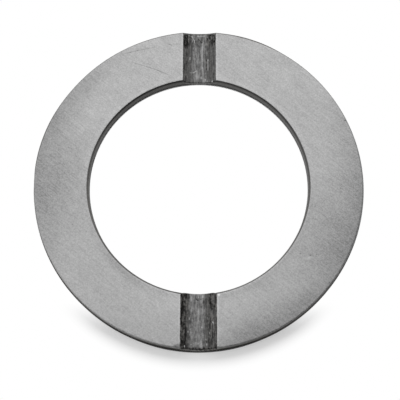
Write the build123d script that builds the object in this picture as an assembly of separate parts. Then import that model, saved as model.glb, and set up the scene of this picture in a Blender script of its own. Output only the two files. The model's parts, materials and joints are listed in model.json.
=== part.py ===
from build123d import *
import os

# A steel thrust washer: a flat ring with an oil groove across its running face at each end
# of one diameter. All sizes are in millimetres. The plain back face lies on z = 0, the bore
# is on the Z axis, the running face is on top, and the grooves run along Y.

# The ring
outer_diameter = 60.0
bore_diameter = 40.0
thickness = 2.0

# The two oil grooves, cut in one pass straight across the ring
groove_width = 6.4
groove_depth = 0.9

# The round on every edge of the running side, which helps oil in under the mating face
edge_radius = 0.5

# The turned chamfer that breaks the rim and bore edges of the back face
back_chamfer = 0.15


def within_wall(size):
    """The size of a round or chamfer, limited so that two of them fit in the wall under a groove."""
    largest_share = 0.48
    wall_under_groove = thickness - groove_depth
    return min(size, largest_share * wall_under_groove)


def ring_blank():
    """The ring as turned and faced: sharp edges in front, chamfered ones at the back."""
    wall = (outer_diameter - bore_diameter) / 2
    middle_of_wall = bore_diameter / 2 + wall / 2
    section = Plane.YZ * Pos(middle_of_wall, thickness / 2) * Rectangle(wall, thickness)
    back_corners = section.vertices().group_by(Axis.Z)[0]
    section = chamfer(back_corners, within_wall(back_chamfer))
    return revolve(section, axis=Axis.Z)


def groove_cutter():
    """The round cutter: its radius gives the groove its width, and it runs out past the rim."""
    half_width = groove_width / 2
    cutter_radius = (half_width**2 + groove_depth**2) / (2 * groove_depth)
    centre_height = thickness - groove_depth + cutter_radius
    cutter_length = 2 * outer_diameter
    return Pos(0, 0, centre_height) * Rot(X=90) * Cylinder(cutter_radius, cutter_length)


def is_on_running_side(edge):
    """True for the edges of the two lands and of the groove ends, down to the groove floor."""
    groove_floor = thickness - groove_depth
    is_seam = edge.geom_type == GeomType.LINE and edge.bounding_box().size.Z > edge.length / 2
    return edge.bounding_box().max.Z > groove_floor and not is_seam


def thrust_washer():
    """The finished washer: turned, grooved, and rounded all over its running side."""
    grooved_ring = ring_blank() - groove_cutter()
    sharp_edges = grooved_ring.edges().filter_by(is_on_running_side)
    return fillet(sharp_edges, within_wall(edge_radius))


os.makedirs("parts", exist_ok=True)
export_step(thrust_washer(), "parts/thrust_washer.step")
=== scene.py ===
import json
import math

import bmesh
import bpy
from mathutils import Matrix, Vector, noise


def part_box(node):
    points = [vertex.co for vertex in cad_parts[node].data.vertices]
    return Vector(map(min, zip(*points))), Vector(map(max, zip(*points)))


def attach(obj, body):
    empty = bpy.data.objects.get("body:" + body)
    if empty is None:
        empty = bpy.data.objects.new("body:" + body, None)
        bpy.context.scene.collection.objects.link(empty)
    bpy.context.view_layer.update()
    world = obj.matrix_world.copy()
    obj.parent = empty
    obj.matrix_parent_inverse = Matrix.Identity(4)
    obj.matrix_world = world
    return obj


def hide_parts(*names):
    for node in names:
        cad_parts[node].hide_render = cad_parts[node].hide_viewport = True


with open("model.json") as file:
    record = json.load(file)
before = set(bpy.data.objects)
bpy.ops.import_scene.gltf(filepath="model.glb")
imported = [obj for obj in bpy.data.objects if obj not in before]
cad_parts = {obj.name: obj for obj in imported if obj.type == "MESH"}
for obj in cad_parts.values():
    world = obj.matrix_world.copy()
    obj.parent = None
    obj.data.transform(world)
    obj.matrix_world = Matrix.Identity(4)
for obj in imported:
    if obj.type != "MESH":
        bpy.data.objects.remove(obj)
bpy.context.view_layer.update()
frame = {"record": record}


# The washer: a flat steel ring. Its rim, bore and oil grooves still carry a dark skin of scale,
# and both flat faces were ground bright after it. The ring is the section of its wall swept
# round the bore, with the grooves pressed into the finished sweep.
washer_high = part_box("thrust_washer")[1]
bore_mount = [mount for mount in frame["record"]["mounts"] if mount["name"] == "bore"][0]
MM = 0.001
RIM_RADIUS = washer_high.x
BORE_RADIUS = bore_mount["dims"]["r_mm"] * MM
MIDDLE_RADIUS = (RIM_RADIUS + BORE_RADIUS) / 2
THICKNESS = washer_high.z
EDGE_ROUND = 0.5 * MM
BACK_CHAMFER = 0.15 * MM

# How finely the sweep is divided: rows run round the ring and columns across it. The columns are
# closest together in the two stretches where the grooves will be.
ROUND_ROWS = 8
FACE_ROWS = 70
WALL_ROWS = 5
BACK_ROWS = 3
GROOVED_ANGLE = math.radians(24)
GROOVED_COLUMNS = 200
LAND_COLUMNS = 130


def edge_middle(edge):
    return (edge.verts[0].co + edge.verts[1].co) / 2


def divide_line(mesh, middle, rows):
    """Divides the section's line whose middle is here into that many rows."""
    line = min(mesh.edges, key=lambda edge: (edge_middle(edge) - middle).length)
    bmesh.ops.subdivide_edges(mesh, edges=[line], cuts=rows - 1)


def wall_section(mesh):
    """The outline of the ring's wall, standing on the X axis."""
    corners = [(BORE_RADIUS, 0), (RIM_RADIUS, 0), (RIM_RADIUS, THICKNESS), (BORE_RADIUS, THICKNESS)]
    points = [mesh.verts.new((radius, 0, height)) for radius, height in corners]
    mesh.faces.new(points)
    bmesh.ops.bevel(mesh, geom=points[2:], offset=EDGE_ROUND, affect="VERTICES",
                    segments=ROUND_ROWS, profile=0.5, material=-1)
    back_corners = [vertex for vertex in mesh.verts if vertex.co.z == 0]
    bmesh.ops.bevel(mesh, geom=back_corners, offset=BACK_CHAMFER, affect="VERTICES",
                    segments=1, profile=0.5, material=-1)
    divide_line(mesh, Vector((MIDDLE_RADIUS, 0, THICKNESS)), FACE_ROWS)
    divide_line(mesh, Vector((RIM_RADIUS, 0, THICKNESS / 2)), WALL_ROWS)
    divide_line(mesh, Vector((BORE_RADIUS, 0, THICKNESS / 2)), WALL_ROWS)
    divide_line(mesh, Vector((MIDDLE_RADIUS, 0, 0)), BACK_ROWS)
    bmesh.ops.delete(mesh, geom=mesh.faces[:], context="FACES_ONLY")


def add_stretch(ring, start, angle, columns):
    """Sweeps the section through one stretch of the ring and adds it to the ring."""
    stretch = bmesh.new()
    wall_section(stretch)
    bmesh.ops.rotate(stretch, verts=stretch.verts[:], matrix=Matrix.Rotation(start, 3, "Z"))
    bmesh.ops.spin(stretch, geom=stretch.verts[:] + stretch.edges[:], axis=(0, 0, 1),
                   angle=angle, steps=columns)
    swept = bpy.data.meshes.new("stretch")
    stretch.to_mesh(swept)
    stretch.free()
    ring.from_mesh(swept)
    bpy.data.meshes.remove(swept)


def swept_ring():
    """The whole ring, in four stretches of land and two finer ones where the grooves will be."""
    ring = bmesh.new()
    land_angle = (math.pi - GROOVED_ANGLE) / 2
    for side in (0, math.pi):
        add_stretch(ring, side, land_angle, LAND_COLUMNS)
        add_stretch(ring, side + land_angle, GROOVED_ANGLE, GROOVED_COLUMNS)
        add_stretch(ring, side + land_angle + GROOVED_ANGLE, land_angle, LAND_COLUMNS)
    bmesh.ops.remove_doubles(ring, verts=ring.verts[:], dist=0.001 * MM)
    bmesh.ops.recalc_face_normals(ring, faces=ring.faces[:])
    return ring


def soft_step(value, start, end):
    """0 before start, 1 after end, and a smooth rise between them."""
    share = min(max((value - start) / (end - start), 0), 1)
    return share * share * (3 - 2 * share)


# The slight burrs on the rim: azimuth and half length in degrees, and height in millimetres.
RIM_BURRS = [(164, 26, 0.19), (70, 14, 0.10)]


def burr_at(vertex):
    """Height in millimetres of the burr on the rim here."""
    azimuth = math.degrees(math.atan2(vertex.co.y, vertex.co.x)) % 360
    return sum(burr * (1 - soft_step(abs(azimuth - middle), 2, reach)) for middle, reach, burr in RIM_BURRS)


def mark_walls(ring):
    """Stores each place's height, how far it has turned from face (0) to wall (1), and its skin.

    The skin starts a little way round each edge. On the rim it starts late at the two sides, and
    earlier in front, behind and where a burr stands out. Its earlier start in front is partly
    painted shade.
    """
    rise_layer = ring.verts.layers.float.new("rise")
    turn_layer = ring.verts.layers.float.new("turn")
    skin_layer = ring.verts.layers.float.new("skin")
    for vertex in ring.verts:
        drop = (THICKNESS - vertex.co.z) / EDGE_ROUND
        turn = math.acos(1 - min(drop, 1)) / (math.pi / 2)
        below_round = max(drop - 1, 0)
        down = turn + 0.3 * below_round
        radius = math.hypot(vertex.co.x, vertex.co.y)
        far = max(vertex.co.y / radius, 0)
        near = max(-vertex.co.y / radius, 0)
        right = max(vertex.co.x / radius, 0)
        if radius < MIDDLE_RADIUS:
            start = 0.08 + 0.12 * right * near + 0.05 * far
            vertex[skin_layer] = soft_step(down, start, start + 0.15 + 0.3 * near - 0.06 * far)
        else:
            start = 0.75 - 0.5 * far - 0.55 * soft_step(near, 0, 0.7) - 1.8 * burr_at(vertex)
            vertex[skin_layer] = soft_step(down, start, start + 0.2 + 0.1 * near)
        vertex[turn_layer] = turn
        vertex[rise_layer] = vertex.co.z / THICKNESS


# The oil grooves: one pass of a round-nosed cutter right across the ring, which pushed a small
# lip out over the bore at each side. Sizes from here to the finished ring are in millimetres.
GROOVE_DEPTH = 0.9
GROOVE_HALF_WIDTH = 3.19
GROOVE_CENTRE = 0.12
GROOVE_SKEW = 0.0016
GROOVE_WIDENING = 0.003
GROOVE_RAGGEDNESS = 0.05
LIP_REACH = 0.1
CUTTER_RADIUS = (GROOVE_HALF_WIDTH**2 + GROOVE_DEPTH**2) / (2 * GROOVE_DEPTH)

# The grooves and the strips beside them lie within this reach of the Y axis. The sweep's columns
# are set straight within the smaller one.
GROOVE_REACH = 4.2
STRAIGHT_REACH = 3.6
STRAIGHT_ANGLE = math.asin(STRAIGHT_REACH * MM / MIDDLE_RADIUS)

# A row that lies right on a border counts with it, by this little slack.
BORDER_SLACK = 1.01

# The drag lines and pits on the grooves' floors, as waves: height, width and length.
FLOOR_WAVES = [(0.020, 0.30, 4.0), (0.012, 0.15, 1.5), (0.014, 0.25, 0.3)]

# What the cutter and later wear left in the grooves, as strokes from one point to another:
# light drag marks, bare flecks and dark tears. The far groove has positive Y, the near one negative.
DRAG_MARKS = [
    (-2.0, 29.3, -1.3, 29.2), (-1.3, 29.2, -1.1, 28.7), (-1.1, 28.7, -1.3, 28.1), (-1.8, 28.9, -1.5, 28.6),
    (-0.9, 28.5, -0.9, 28.1), (1.6, 29.1, 2.0, 28.3), (2.1, 29.2, 2.6, 28.4), (-0.3, 29.4, 0.6, 29.4),
    (0.6, 27.9, 0.6, 22.8), (1.7, 24.3, 1.7, 22.3), (-1.7, 21.8, -1.1, 21.9), (-1.1, 21.9, -0.5, 22.3),
    (1.2, 20.6, 1.6, 20.1), (1.7, 20.5, 2.0, 20.1), (0.4, 21.1, 0.4, 20.7), (-1.1, 26.9, -1.1, 26.6),
    (-0.5, -20.5, 0.0, -20.3), (0.1, -20.6, 0.5, -20.4), (0.5, -20.4, 0.9, -20.6), (-1.2, -20.6, -1.2, -21.2),
    (1.7, -24.0, 1.8, -24.4), (2.1, -26.7, 2.1, -27.0), (0.6, -28.0, 0.6, -29.2), (1.4, -27.9, 1.6, -28.1),
]
BARE_FLECKS = [
    (-1.7, 24.9, -1.7, 24.5), (1.7, 24.6, 1.7, 24.3), (0.8, 29.4, 1.1, 29.4), (2.4, 20.2, 2.5, 20.0),
    (1.4, -20.4, 1.5, -20.5), (-1.5, -24.2, -1.5, -24.5), (-1.7, -26.5, -1.7, -26.7),
    (2.6, -24.9, 2.7, -25.1), (-1.2, -28.8, -1.1, -28.9), (1.6, -28.7, 1.6, -29.0),
    (0.7, -25.7, 0.7, -25.9), (-2.3, -29.0, -2.3, -29.3),
]
TEARS = [
    (-2.2, 29.5, -2.2, 29.3), (-1.6, 29.6, -1.6, 29.4), (-1.0, 29.6, -1.0, 29.5), (-1.9, 28.9, -1.9, 28.8),
    (-1.5, 28.8, -1.4, 28.7), (-1.7, 28.2, -1.6, 28.1), (-0.7, 28.3, -0.7, 28.1), (-0.1, 28.7, 0.6, 27.9),
    (1.4, 29.0, 1.6, 28.5), (1.9, 29.2, 2.2, 28.6), (1.4, 24.5, 1.4, 22.5), (1.8, 25.9, 1.9, 25.6),
    (2.8, 21.7, 2.8, 20.8), (0.0, 20.3, 0.0, 20.0), (-1.0, -20.4, -0.7, -20.6), (-0.3, -20.9, 0.1, -21.1),
    (0.5, -20.9, 0.7, -20.8), (0.9, -21.2, 0.9, -21.6), (0.0, -28.4, 0.1, -28.5), (1.6, -28.2, 1.6, -28.6),
    (3.3, -28.5, 3.3, -29.2),
]
STROKE_HALF_WIDTH = 0.10

# The lands' corners beside the near groove are worn down: the place and reach of each, and the
# depth of both.
WORN_CORNERS = [(-3.3, -30.0, 1.5), (3.4, -30.0, 0.9)]
CORNER_WEAR = 0.2

# How much of the edge round is missing where a groove runs out into the bore.
END_SHARPNESS = 0.65


def comb_columns(ring):
    """Turns the sweep's columns parallel to the grooves where a groove runs."""
    for vertex in ring.verts:
        radius = math.hypot(vertex.co.x, vertex.co.y)
        lean = math.atan2(vertex.co.x, abs(vertex.co.y))
        if abs(lean) > GROOVED_ANGLE / 2:
            continue
        spread = soft_step(abs(lean), STRAIGHT_ANGLE, GROOVED_ANGLE / 2)
        across = math.sin(lean) * (MIDDLE_RADIUS + (radius - MIDDLE_RADIUS) * spread)
        vertex.co.y = math.copysign(math.sqrt(radius**2 - across**2), vertex.co.y)
        vertex.co.x = across


def ripple(across, along, width, length, seed):
    """Smooth random waves between about -1 and 1 that are this wide and this long."""
    return noise.noise(Vector((across / width, along / length, seed)))


def half_width_at(along, side):
    """Half the groove's width here, with the slightly ragged edge that the cutter left."""
    ragged = ripple(0, along, 1, 0.8, 20 + side) + ripple(0, along, 1, 0.25, 30 + side)
    return GROOVE_HALF_WIDTH - GROOVE_WIDENING * along + GROOVE_RAGGEDNESS * ragged


def from_middle(across, along):
    """Distance from the middle line of the groove, which lies a little askew."""
    return abs(across - GROOVE_CENTRE + GROOVE_SKEW * along)


def groove_arc(across, along):
    """Depth of the cutter's clean arc here."""
    share = from_middle(across, along) / half_width_at(along, math.copysign(1, across))
    if share >= 1:
        return 0
    return math.sqrt(CUTTER_RADIUS**2 - (share * GROOVE_HALF_WIDTH)**2) - (CUTTER_RADIUS - GROOVE_DEPTH)


def groove_relief(across, along):
    """Height of the drag lines and pits that the cutter left in the groove."""
    return sum(height * ripple(across, along, width, length, seed)
               for seed, (height, width, length) in enumerate(FLOOR_WAVES, 1))


def on_strokes(strokes, across, along):
    """How much the nearest of these strokes covers this place: 1 on its middle line, 0 beside it."""
    cover = 0
    for start_x, start_y, end_x, end_y in strokes:
        if abs(along - (start_y + end_y) / 2) > abs(end_y - start_y) / 2 + STROKE_HALF_WIDTH:
            continue
        run = Vector((end_x - start_x, end_y - start_y))
        offset = Vector((across - start_x, along - start_y))
        share = min(max(offset.dot(run) / max(run.length_squared, 0.0001), 0), 1)
        distance = (offset - run * share).length
        cover = max(cover, 1 - soft_step(distance, 0.3 * STROKE_HALF_WIDTH, STROKE_HALF_WIDTH))
    return cover


def bare_share(across, along):
    """How far the dark skin is rubbed through here: 0 for a whole skin, 1 for bare metal."""
    near = along < 0
    middle = (-0.2 if near else 0.1) + 0.15 * ripple(0, along, 1, 2.5, 4)
    half_band = 1.35 + 0.3 * ripple(0, along, 1, 1.1, 5)
    band = 1 - soft_step(abs(across - middle), half_band - 0.35, half_band + 0.35)
    blotches = ripple(across, along, 0.7, 0.9, 8)
    # The near groove's band is barer than the far one's, as painted light where it gets less light.
    return 0.03 + (0.34 if near else 0.27) * band * (1 + 0.35 * blotches)


def side_shade_and_dark_ends(across, along):
    """How black the groove's two sides are, as painted shade.

    The left side is the blacker one. The near groove is also blacker at both ends, and the far one
    at its outer end.
    """
    outer_end = soft_step(along, 26.0, 28.4)
    inner_end = 1 - soft_step(-along, 21.0, 22.8)
    left = 1.0 + 0.45 * inner_end if along < 0 else 0.55 + 0.5 * outer_end
    right = 0.62 + 0.3 * inner_end if along < 0 else 0.28 + 0.4 * outer_end
    black = left * (1 - soft_step(across, -2.6, -1.2)) + right * soft_step(across, 1.0, 2.2)
    black *= 0.9 + 0.5 * ripple(across, along, 0.5, 1.2, 9)
    black += 0.2 * outer_end
    return max(black, 0.7 * soft_step(-along, 29.0, 29.5))


def sharpen_ends(ring):
    """Makes the edge rounds smaller where the grooves run out into the bore."""
    for vertex in ring.verts:
        radius = math.hypot(vertex.co.x, vertex.co.y)
        across, along = vertex.co.x / MM, vertex.co.y / MM
        on_edge = radius <= BORE_RADIUS + EDGE_ROUND and vertex.co.z >= THICKNESS - BORDER_SLACK * EDGE_ROUND
        if abs(across) > GROOVE_REACH or not on_edge:
            continue
        share = END_SHARPNESS * soft_step(groove_arc(across, along), 0.1, 0.4)
        vertex.co.z += (THICKNESS - vertex.co.z) * share
        closer = 1 - (radius - BORE_RADIUS) * share / radius
        vertex.co.x *= closer
        vertex.co.y *= closer


def press_grooves(ring):
    """Lowers the running side into the grooves and shortens the walls under them."""
    cut_layer = ring.verts.layers.float.new("cut")
    bare_layer = ring.verts.layers.float.new("bare")
    tear_and_shade_layer = ring.verts.layers.float.new("tear")
    beside_layer = ring.verts.layers.float.new("beside")
    turn_layer = ring.verts.layers.float["turn"]
    shoulder = THICKNESS - EDGE_ROUND
    for vertex in ring.verts:
        across, along = vertex.co.x / MM, vertex.co.y / MM
        if abs(across) > GROOVE_REACH or vertex.co.z <= BORDER_SLACK * BACK_CHAMFER:
            continue
        drag = on_strokes(DRAG_MARKS, across, along)
        fleck = on_strokes(BARE_FLECKS, across, along)
        tear = on_strokes(TEARS, across, along)
        cut = groove_arc(across, along)
        raised = groove_relief(across, along) + 0.02 * drag - 0.03 * tear
        outside = from_middle(across, along) - half_width_at(along, math.copysign(1, across))
        vertex[beside_layer] = 1 - soft_step(abs(outside - 0.15), 0.05, 0.2)
        cut -= raised * soft_step(cut, 0, 0.2)
        share = min((vertex.co.z - BACK_CHAMFER) / (shoulder - BACK_CHAMFER), 1)
        wall = min(vertex[turn_layer], 1)
        vertex.co.z -= max(cut, 0) * MM * share
        vertex[cut_layer] = cut * share
        at_rim = wall if math.hypot(across, along) * MM > MIDDLE_RADIUS else 0
        vertex[bare_layer] = max(bare_share(across, along) + 0.5 * drag, fleck) * (1 - 0.8 * at_rim)
        # Over the rim the near groove's floor has black painted shade at first, and is clean further down.
        if 0 < at_rim < 1 and along < 0:
            tear = 1.2 - 1.5 * soft_step(at_rim, 0.1, 0.5)
        # The tear value also carries the painted shade on the grooves' sides.
        if at_rim == 0:
            tear = max(tear, side_shade_and_dark_ends(across, along) * (1 - wall)) * (1 - fleck)
        vertex[tear_and_shade_layer] = tear


def raise_burrs(ring):
    """Lets the rim stand out a little where the burrs are, but no further left than the ring does."""
    for vertex in ring.verts:
        radius = math.hypot(vertex.co.x, vertex.co.y)
        reach = burr_at(vertex) * MM * soft_step(radius, RIM_RADIUS - 1.0 * MM, RIM_RADIUS - 0.3 * MM)
        vertex.co.x = max(vertex.co.x * (1 + reach / radius), -RIM_RADIUS)
        vertex.co.y *= 1 + reach / radius


def push_lips(ring):
    """Bulges the grooves' ends a little over the bore, where the cutter pushed the metal out."""
    cut_layer = ring.verts.layers.float["cut"]
    for vertex in ring.verts:
        radius = math.hypot(vertex.co.x, vertex.co.y)
        reach = LIP_REACH * MM * soft_step(vertex[cut_layer], 0.1, 0.5)
        reach *= 1 - soft_step(radius, BORE_RADIUS, BORE_RADIUS + 1.2 * MM)
        vertex.co.x *= 1 - reach / radius
        vertex.co.y *= 1 - reach / radius


def wear_corners(ring):
    """Wears down the lands' corners beside the near groove's outer end."""
    for x, y, reach in WORN_CORNERS:
        corner = Vector((x, y)) * MM
        for vertex in ring.verts:
            near = 1 - soft_step((vertex.co.xy - corner).length / MM, 0, reach)
            if near == 0 or vertex.co.z < THICKNESS - EDGE_ROUND:
                continue
            share = near * (vertex.co.z - THICKNESS + EDGE_ROUND) / EDGE_ROUND
            vertex.co.z -= CORNER_WEAR * MM * share


ring = swept_ring()
mark_walls(ring)
comb_columns(ring)
sharpen_ends(ring)
press_grooves(ring)
push_lips(ring)
wear_corners(ring)
raise_burrs(ring)
ring_mesh = bpy.data.meshes.new("thrust_washer_ring")
ring.to_mesh(ring_mesh)
ring.free()
ring_mesh.shade_smooth()
washer = bpy.data.objects.new("thrust_washer_ring", ring_mesh)
bpy.context.scene.collection.objects.link(washer)


# The bright face: cloudy, finely grained steel with the slanting lines of the grinding wheel. It
# is darker in some large patches near the rim and lighter in a few, and has a few scratches, pits
# and knocks.
FACE_COLOUR = 0.40
FACE_ROUGHNESS = 0.40
FINE_GRAIN = 4200
CLOUD_GRAIN = 260
LAY_LENGTH_GRAIN = 350
LAY_ANGLE = math.radians(-38)
BORDER_RADIUS = 20.9 * MM
BORDER_WIDTH = 0.8 * MM

# The marks on the face are ovals: place, half length and half width in millimetres, angle in
# degrees, and how much lighter or darker the face is there.
DARKER_PATCHES = [(-32, 0, 16, 22, 0, -0.36), (-25, 18, 7, 22, 144, -0.27), (13, -26, 5, 22, -63, -0.33),
          (30, -12, 16, 22, -22, -0.42), (33, 8, 13, 19, 14, -0.30), (-13.5, -15.5, 6, 1.6, -41, -0.14)]
SCRATCHES = [(-10.6, 23.1, 3.6, 0.12, -18.4, -0.42), (-7.2, 21.85, 3.2, 0.12, -22.8, -0.5),
             (-12.7, 25.8, 3.4, 0.13, 13.6, -0.42), (-9.4, 26.55, 2.4, 0.13, 11.8, -0.32),
             (-5.5, 27.3, 0.8, 0.16, -20, -0.45), (-4.1, 27.4, 1.4, 0.15, 5, -0.25),
             (20.6, -6.4, 1.3, 0.12, -9, -0.25), (25.9, 0.0, 0.4, 0.14, 60, -0.3),
             (25.7, -0.8, 0.3, 0.14, 30, -0.3), (22.6, -3.2, 0.5, 0.13, 40, -0.25),
             (21.0, -4.2, 0.4, 0.13, 35, -0.25)]
PITS = [(18.2, -12.8, 0.25, 0.2, 0, -0.5), (20.0, -13.1, 0.3, 0.22, 0, -0.6),
        (21.1, -12.9, 0.25, 0.2, 0, -0.4), (27.1, 12.2, 0.7, 0.3, 24, -0.45),
        (23.2, -18.0, 0.35, 0.2, 50, -0.4), (22.9, -19.0, 0.35, 0.2, 50, -0.4)]
LIGHTER_PATCHES = [(-2, -21, 6, 14, 85, 0.11), (19.8, -13.5, 1.1, 0.5, 10, 0.22), (3.75, -20.2, 0.3, 0.25, 0, 0.9)]


def add_node(tree, kind, **settings):
    made = tree.nodes.new(kind)
    for name, value in settings.items():
        setattr(made, name, value)
    return made


def feed(socket, value):
    """Links another node's output into the socket, or sets its plain value."""
    if isinstance(value, bpy.types.NodeSocket):
        socket.id_data.links.new(value, socket)
    else:
        socket.default_value = value


def maths(tree, operation, *values):
    made = add_node(tree, "ShaderNodeMath", operation=operation)
    for socket, value in zip(made.inputs, values):
        feed(socket, value)
    return made.outputs[0]


def vector_maths(tree, operation, *vectors):
    made = add_node(tree, "ShaderNodeVectorMath", operation=operation)
    for socket, vector in zip(made.inputs, vectors):
        feed(socket, vector)
    return made.outputs["Value"]


def times(tree, product, *factors):
    for factor in factors:
        product = maths(tree, "MULTIPLY", product, factor)
    return product


def weighed(tree, total, *pairs):
    """The first value plus each of the others times its weight."""
    for value, weight in pairs:
        total = maths(tree, "MULTIPLY_ADD", value, weight, total)
    return total


def ramp(tree, value, low, high, start=0.0, end=1.0):
    """A smooth change from start to end while the value goes from low to high."""
    made = add_node(tree, "ShaderNodeMapRange", interpolation_type="SMOOTHSTEP")
    for socket, given in zip(made.inputs, (value, low, high, start, end)):
        feed(socket, given)
    return made.outputs[0]


def grain(tree, place, scale, turn=0.0, detail=2.0, roughness=0.6):
    """Random waves around 0, about -0.3 to 0.3, with this many per metre along each axis."""
    mapping = add_node(tree, "ShaderNodeMapping", vector_type="TEXTURE")
    feed(mapping.inputs["Vector"], place)
    mapping.inputs["Rotation"].default_value = (0, 0, turn)
    mapping.inputs["Scale"].default_value = [1 / waves_per_metre for waves_per_metre in scale]
    waves = add_node(tree, "ShaderNodeTexNoise")
    feed(waves.inputs["Vector"], mapping.outputs[0])
    waves.inputs["Scale"].default_value = 1
    waves.inputs["Detail"].default_value = detail
    waves.inputs["Roughness"].default_value = roughness
    return maths(tree, "SUBTRACT", waves.outputs[0], 0.5)


def patch(tree, place, x, y, half_length, half_width, angle):
    """1 in the middle of an oval on the running face, 0 outside it."""
    mapping = add_node(tree, "ShaderNodeMapping", vector_type="TEXTURE")
    feed(mapping.inputs["Vector"], place)
    mapping.inputs["Location"].default_value = (x * MM, y * MM, THICKNESS)
    mapping.inputs["Rotation"].default_value = (0, 0, math.radians(angle))
    mapping.inputs["Scale"].default_value = (half_length * MM, half_width * MM, 1)
    distance = vector_maths(tree, "LENGTH", mapping.outputs[0])
    return ramp(tree, distance, 0.0, 1.0, 1.0, 0.0)


def attribute(tree, name):
    return add_node(tree, "ShaderNodeAttribute", attribute_name=name).outputs["Fac"]


def grey(tree, value):
    made = add_node(tree, "ShaderNodeCombineColor")
    for socket in made.inputs[:3]:
        feed(socket, value)
    return made.outputs[0]


def bumps(tree, strength, distance, height):
    made = add_node(tree, "ShaderNodeBump")
    made.inputs["Strength"].default_value = strength
    made.inputs["Distance"].default_value = distance
    feed(made.inputs["Height"], height)
    return made.outputs[0]


steel = bpy.data.materials.new("ground_steel")
steel.use_nodes = True
steel_tree = steel.node_tree
steel_tree.nodes.clear()
place = add_node(steel_tree, "ShaderNodeTexCoord").outputs["Object"]
position = add_node(steel_tree, "ShaderNodeSeparateXYZ")
feed(position.inputs[0], place)
sideways, backward, height = position.outputs
from_axis = vector_maths(steel_tree, "LENGTH", place)
turned = attribute(steel_tree, "turn")
speckle = grain(steel_tree, place, (FINE_GRAIN, FINE_GRAIN, FINE_GRAIN))
clouds = grain(steel_tree, place, (CLOUD_GRAIN, CLOUD_GRAIN, CLOUD_GRAIN))
lay = grain(steel_tree, place, (LAY_LENGTH_GRAIN, FINE_GRAIN, LAY_LENGTH_GRAIN), turn=LAY_ANGLE)
face_tone = weighed(steel_tree, 1.0, (speckle, 0.85), (clouds, 0.25), (lay, 0.42))

# A thin border round the bore has a painted glint behind and painted shade in front, and the near
# edge's round a faint painted highlight. The strips beside the grooves are rubbed a little lighter.
from_border = maths(steel_tree, "ABSOLUTE", maths(steel_tree, "SUBTRACT", from_axis, BORDER_RADIUS))
painted_border_glint = times(steel_tree, ramp(steel_tree, backward, -8 * MM, 8 * MM, -0.06, 0.06),
                     ramp(steel_tree, from_border, 0.0, BORDER_WIDTH, 1.0, 0.0))
painted_near_highlight = times(steel_tree, ramp(steel_tree, turned, 0.03, 0.2),
                   ramp(steel_tree, backward, -27 * MM, -19.8 * MM, 1.0, 0.0))
face_tone = weighed(steel_tree, face_tone, (attribute(steel_tree, "beside"), 0.12),
                    (painted_border_glint, 1.0), (painted_near_highlight, 0.1))
for x, y, half_length, half_width, angle, change in DARKER_PATCHES + SCRATCHES + PITS + LIGHTER_PATCHES:
    mark = patch(steel_tree, place, x, y, half_length, half_width, angle)
    face_tone = weighed(steel_tree, face_tone, (mark, change))
ground = add_node(steel_tree, "ShaderNodeBsdfPrincipled")
ground.inputs["Metallic"].default_value = 1
feed(ground.inputs["Base Color"], grey(steel_tree, times(steel_tree, face_tone, FACE_COLOUR)))
feed(ground.inputs["Roughness"], weighed(steel_tree, FACE_ROUGHNESS, (speckle, 0.10), (lay, 0.10)))
face_relief = weighed(steel_tree, 0.0, (speckle, 1.0), (lay, 2.0))
feed(ground.inputs["Normal"], bumps(steel_tree, 0.4, 0.003 * MM, face_relief))

# The dark skin on rim, bore and grooves: black iron oxide, faintly warm, over the lines of the
# lathe. In the grooves it is mottled, and rubbed through in drag lines and specks.
SHINY_COLOUR = (0.0465, 0.0452, 0.0431, 1)
MATTE_COLOUR = (0.148, 0.1434, 0.137, 1)
SKIN_ROUGHNESS = 0.3


def tinted(tree, colour, tone):
    """The colour times the tone, which is kept above a tenth."""
    made = add_node(tree, "ShaderNodeMix", data_type="RGBA", blend_type="MULTIPLY")
    made.inputs["Factor"].default_value = 1
    made.inputs["A"].default_value = colour
    feed(made.inputs["B"], grey(tree, maths(tree, "MAXIMUM", tone, 0.1)))
    return made.outputs["Result"]


def mixed(tree, share, first, second):
    """The first shader, with the second one in its place for this share."""
    made = add_node(tree, "ShaderNodeMixShader")
    for socket, given in zip(made.inputs, (share, first.outputs[0], second.outputs[0])):
        feed(socket, given)
    return made


skin_cover = attribute(steel_tree, "skin")
rise = attribute(steel_tree, "rise")
torn_and_shaded = attribute(steel_tree, "tear")
in_groove = ramp(steel_tree, attribute(steel_tree, "cut"), 0.005, 0.03)
lathe_lines = grain(steel_tree, place, (160, 160, 9000), detail=1)
skin_spots = grain(steel_tree, place, (2600, 2600, 2600))
mottle = grain(steel_tree, place, (3000, 1900, 3000), detail=3, roughness=0.7)
drag_lines = grain(steel_tree, place, (FINE_GRAIN, 500, FINE_GRAIN))
blotches = grain(steel_tree, place, (1300, 900, 1300))
groove_grain = weighed(steel_tree, 0.0, (mottle, 2.2), (drag_lines, 2.6), (blotches, 1.2))
skin_tone = weighed(steel_tree, 1.0, (lathe_lines, 0.9), (skin_spots, 0.9),
                    (times(steel_tree, groove_grain, in_groove), 1.2), (torn_and_shaded, -0.8))

# Painted light and shade on the skin: the bore's wall has a painted highlight near its top,
# painted shade to the left and a dark painted line along its far edge. The rim has painted shade
# that deepens as it turns down, and the foot of every wall is darker still with painted shade.
on_rim = ramp(steel_tree, from_axis, 22 * MM, 28 * MM)
in_bore = maths(steel_tree, "SUBTRACT", 1.0, on_rim)
upper_wall = times(steel_tree, ramp(steel_tree, rise, 0.5, 0.8), ramp(steel_tree, turned, 0.2, 0.5), in_bore)
edge_line = times(steel_tree, ramp(steel_tree, turned, 0.08, 0.25),
                  ramp(steel_tree, turned, 0.45, 0.75, 1.0, 0.0),
                  ramp(steel_tree, backward, -4 * MM, 12 * MM), skin_cover, in_bore)
painted_left_shade = maths(steel_tree, "MINIMUM", ramp(steel_tree, sideways, -19 * MM, -14 * MM),
                     ramp(steel_tree, sideways, -7 * MM, 6 * MM, 1.0, 0.0))
painted_left_shade = times(steel_tree, painted_left_shade, skin_cover, in_bore)
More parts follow.
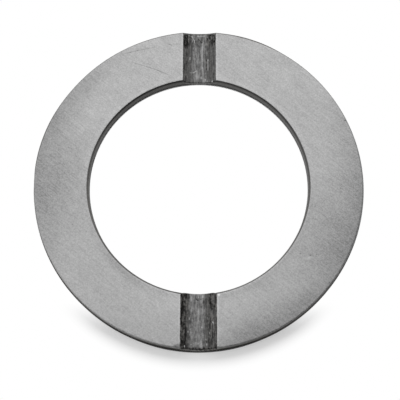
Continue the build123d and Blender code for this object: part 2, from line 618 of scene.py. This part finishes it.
rim_wall = times(steel_tree, ramp(steel_tree, turned, 0.15, 0.9), on_rim)
painted_wall_shading = weighed(steel_tree, 1.0, (upper_wall, 0.25), (edge_line, -0.7), (painted_left_shade, -0.35),
                    (rim_wall, -0.75))
painted_wall_shading = times(steel_tree, painted_wall_shading, ramp(steel_tree, rise, 0.1, 0.5, 0.1, 1.0))
skin_tone = times(steel_tree, skin_tone, painted_wall_shading)
shiny_skin = add_node(steel_tree, "ShaderNodeBsdfPrincipled")
shiny_skin.inputs["Specular IOR Level"].default_value = 0.66
shiny_skin.inputs["Roughness"].default_value = SKIN_ROUGHNESS
feed(shiny_skin.inputs["Base Color"], tinted(steel_tree, SHINY_COLOUR, skin_tone))
skin_relief = weighed(steel_tree, 0.0, (lathe_lines, 1.0), (skin_spots, 1.0))
feed(shiny_skin.inputs["Normal"], bumps(steel_tree, 0.6, 0.01 * MM, skin_relief))
matte_skin = add_node(steel_tree, "ShaderNodeBsdfDiffuse")
feed(matte_skin.inputs["Color"], tinted(steel_tree, MATTE_COLOUR, skin_tone))

# The skin is matte on the rim, at the foot of the walls, where it is torn and on the grooves'
# painted dark sides, and partly matte in the bore, more to the left. It is shiny on the clean floor
# of a groove.
on_left = ramp(steel_tree, sideways, -16 * MM, 8 * MM, 0.44, 0.22)
at_foot = ramp(steel_tree, height, 0.25 * MM, 0.6 * MM, 1.0, 0.0)
matte_wall = maths(steel_tree, "MAXIMUM", maths(steel_tree, "MAXIMUM", on_rim, on_left), at_foot)
groove_floor = ramp(steel_tree, maths(steel_tree, "SUBTRACT", in_groove, skin_cover), 0.0, 1.0)
matte_wall = times(steel_tree, matte_wall, maths(steel_tree, "SUBTRACT", 1.0, groove_floor))
matte_share = maths(steel_tree, "MAXIMUM", matte_wall, ramp(steel_tree, torn_and_shaded, 0.0, 1.0))
whole_skin = mixed(steel_tree, matte_share, shiny_skin, matte_skin)

# Where the skin lies: on the walls and in the grooves, but for what has been rubbed through.
above_back = ramp(steel_tree, height, 0.001 * MM, 0.01 * MM)
on_wall = weighed(steel_tree, skin_cover, (skin_spots, 0.3), (lathe_lines, 0.2))
on_wall = times(steel_tree, ramp(steel_tree, on_wall, 0.05, 0.95), above_back)
rubbed = weighed(steel_tree, attribute(steel_tree, "bare"), (groove_grain, 0.26), (torn_and_shaded, -0.25))
rubbed = times(steel_tree, ramp(steel_tree, rubbed, 0.0, 1.0), in_groove)
skin_place = maths(steel_tree, "MAXIMUM", on_wall, in_groove)
covered = times(steel_tree, skin_place, maths(steel_tree, "SUBTRACT", 1.0, rubbed))
surface = mixed(steel_tree, covered, ground, whole_skin)
steel_output = add_node(steel_tree, "ShaderNodeOutputMaterial")
feed(steel_output.inputs[0], surface.outputs[0])
ring_mesh.materials.append(steel)

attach(washer, "root")
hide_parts("thrust_washer")


# The table: a plain white sheet under soft light, pure white elsewhere and in the hole. In front,
# where the rim stands between it and the light, it keeps the washer's shadow, shaped there by a
# painted glow. In the hole the sheet also glows faintly in reflections, a painted reflection on the
# bore wall.
FLOOR_REACH = 3.0
HOLE_CENTRE = Vector((0, -0.12 * MM, 0))
HOLE_GLOW_RADIUS = 20.0 * MM
HOLE_REFLECTION = 0.2
FRONT = Vector((0, -1, 0))
SHADOW_START = 21 * MM
SHADOW_FULL = 27 * MM
floor_mesh = bpy.data.meshes.new("table")
sheet = bmesh.new()
bmesh.ops.create_grid(sheet, x_segments=1, y_segments=1, size=FLOOR_REACH)
sheet.to_mesh(floor_mesh)
sheet.free()
floor = bpy.data.objects.new("table", floor_mesh)
bpy.context.scene.collection.objects.link(floor)
white = bpy.data.materials.new("white_table")
white.use_nodes = True
white_tree = white.node_tree
white_tree.nodes.clear()
floor_place = add_node(white_tree, "ShaderNodeTexCoord").outputs["Object"]
from_hole = vector_maths(white_tree, "DISTANCE", floor_place, HOLE_CENTRE)
from_rim = maths(white_tree, "SUBTRACT", vector_maths(white_tree, "LENGTH", floor_place), RIM_RADIUS)
frontness = vector_maths(white_tree, "DOT_PRODUCT", floor_place, FRONT)
in_front = ramp(white_tree, frontness, SHADOW_START, SHADOW_FULL)

# In front of the rim the sheet has a painted contact shadow: its colour is black along a thin line
# of contact. Beside it a painted glow sets the shadow's grey, and fades to white further out.
contact_width = ramp(white_tree, frontness, 27.5 * MM, 30 * MM, 0.04 * MM, 0.13 * MM)
past_contact_shadow = ramp(white_tree, maths(white_tree, "DIVIDE", from_rim, contact_width), 0.7, 1.3)
shadow_grey_glow = ramp(white_tree, from_rim, 0.2 * MM, 1.2 * MM, 0.36, 0.24)
fading = ramp(white_tree, from_rim, 0.1 * MM, 3.7 * MM)
front_glow = times(white_tree, past_contact_shadow, maths(white_tree, "MAXIMUM", shadow_grey_glow, fading))
outer_glow = maths(white_tree, "MULTIPLY_ADD", in_front, maths(white_tree, "SUBTRACT", front_glow, 1.0), 1.0)
outside_rim = maths(white_tree, "GREATER_THAN", from_rim, 0.0)
in_hole = maths(white_tree, "LESS_THAN", from_hole, HOLE_GLOW_RADIUS)
glow = maths(white_tree, "MAXIMUM", in_hole, times(white_tree, outside_rim, outer_glow))
ray = add_node(white_tree, "ShaderNodeLightPath")
reflected = times(white_tree, in_hole, HOLE_REFLECTION, ray.outputs["Is Glossy Ray"])
seen = maths(white_tree, "MAXIMUM", ray.outputs["Is Camera Ray"], reflected)
paper = add_node(white_tree, "ShaderNodeBsdfDiffuse")
outside_painted_contact = maths(white_tree, "MAXIMUM", past_contact_shadow, maths(white_tree, "LESS_THAN", from_rim, 0.0))
feed(paper.inputs["Color"], grey(white_tree, ramp(white_tree, outside_painted_contact, 0.0, 1.0, 0.1, 0.9)))
shine = add_node(white_tree, "ShaderNodeEmission")
table_surface = mixed(white_tree, times(white_tree, glow, seen), paper, shine)
table_output = add_node(white_tree, "ShaderNodeOutputMaterial")
feed(table_output.inputs[0], table_surface.outputs[0])
floor_mesh.materials.append(white)

# The light: one large softbox, overhead and reaching far down behind the washer.
LIGHT_DISTANCE = 0.6
LIGHT_LEAN = math.radians(40)
LIGHT_LEFT = 0.08
LIGHT_WIDTH = 3.0
LIGHT_LENGTH = 1.3
LIGHT_POWER = 14.2
light_data = bpy.data.lights.new("softbox", "AREA")
light_data.shape = "RECTANGLE"
light_data.size = LIGHT_WIDTH
light_data.size_y = LIGHT_LENGTH
light_data.energy = LIGHT_POWER
softbox = bpy.data.objects.new("softbox", light_data)
bpy.context.scene.collection.objects.link(softbox)
softbox.location = (-LIGHT_LEFT, LIGHT_DISTANCE * math.sin(LIGHT_LEAN), LIGHT_DISTANCE * math.cos(LIGHT_LEAN))
softbox.rotation_euler = (-softbox.location).to_track_quat("-Z", "Y").to_euler()

# The room: dim round the softbox, with pale walls in front and at the sides that light the rim.
# Where the camera looks past the table it is white.
ROOM_TONE = 0.085
WALL_TONE = 0.55
WALL_TOP = math.radians(60)
WALL_FADE = math.radians(28)
world = bpy.data.worlds.new("studio")
world.use_nodes = True
room = world.node_tree
look = add_node(room, "ShaderNodeSeparateXYZ")
feed(look.inputs[0], add_node(room, "ShaderNodeTexCoord").outputs["Generated"])
round_front = ramp(room, look.outputs["Y"], -0.1, 0.5, 1.0, 0.0)
below_top = ramp(room, look.outputs["Z"], math.sin(WALL_FADE), math.sin(WALL_TOP), 1.0, 0.0)
wall_light = ramp(room, times(room, round_front, below_top), 0.0, 1.0, ROOM_TONE, WALL_TONE)
room_ray = add_node(room, "ShaderNodeLightPath")
room_light = maths(room, "MAXIMUM", wall_light, room_ray.outputs["Is Camera Ray"])
feed(room.nodes["Background"].inputs["Color"], grey(room, room_light))
bpy.context.scene.world = world

# The camera, high in front of the washer and turned a little, as the photograph was taken.
CAMERA_PLACE = Vector((2.939 * MM, -43.449 * MM, THICKNESS + 162.357 * MM))
CAMERA_AIM = Vector((0.312 * MM, -2.960 * MM, THICKNESS))
CAMERA_ROLL = math.radians(-3.577)
camera_data = bpy.data.cameras.new("camera")
camera_data.sensor_width = 36
camera_data.lens = 83.29
camera_data.clip_start = 0.01
camera = bpy.data.objects.new("camera", camera_data)
bpy.context.scene.collection.objects.link(camera)
facing = (CAMERA_AIM - CAMERA_PLACE).to_track_quat("-Z", "Y").to_matrix()
roll = Matrix.Rotation(CAMERA_ROLL, 3, "Z")
camera.matrix_world = Matrix.Translation(CAMERA_PLACE) @ (facing @ roll).to_4x4()
bpy.context.scene.camera = camera
bpy.context.scene.view_settings.view_transform = "Standard"
